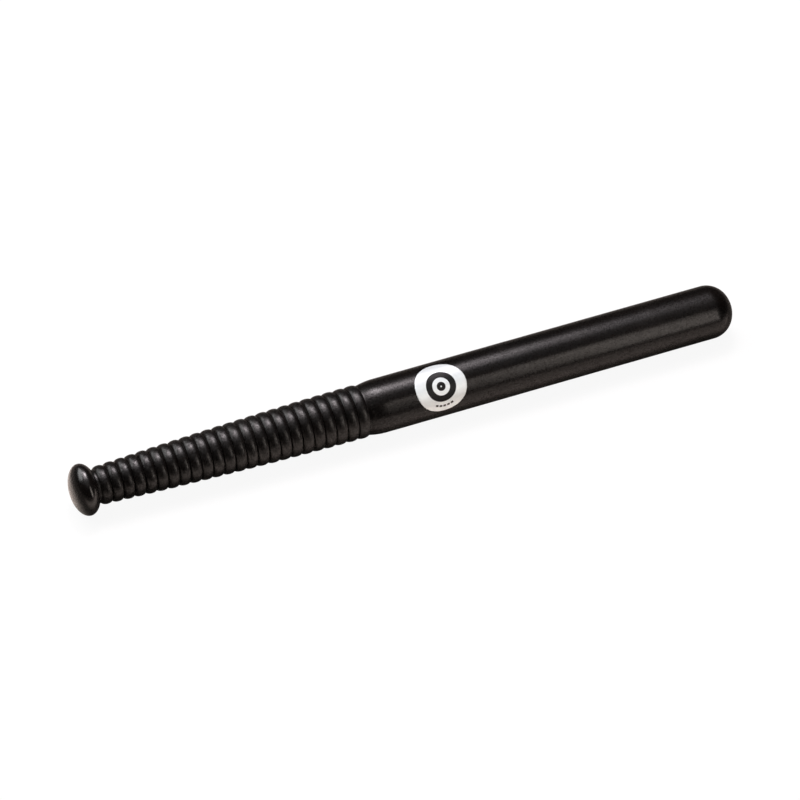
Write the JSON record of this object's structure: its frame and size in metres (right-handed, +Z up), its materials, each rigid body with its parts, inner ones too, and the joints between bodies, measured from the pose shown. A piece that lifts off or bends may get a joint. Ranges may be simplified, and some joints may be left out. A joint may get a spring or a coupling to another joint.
{
  "type": "guiro",
  "caption": "Slim turned scraper stick in satin black, with a lens-shaped end knob, a tapering ribbed stem, a smooth round-ended barrel and a round badge.",
  "frame": {"origin": "on the table, straight below the middle of the stick's length, as it lies on its barrel", "axes": "+X along the stick from the knob to the domed end, +Z up, and the badge faces up and towards -Y"},
  "size_m": [0.3264, 0.0255, 0.0255],
  "materials": {
    "black_lacquer": "satin black lacquer over turned hardwood, with fine pores and turning marks showing through",
    "badge_foil": "silver-white satin label with a plain printed ring pattern"
  },
  "bodies": {
    "root": {"end_knob": "black_lacquer", "ribbed_stem": "black_lacquer", "barrel": "black_lacquer", "badge": "badge_foil"}
  },
  "joints": []
}
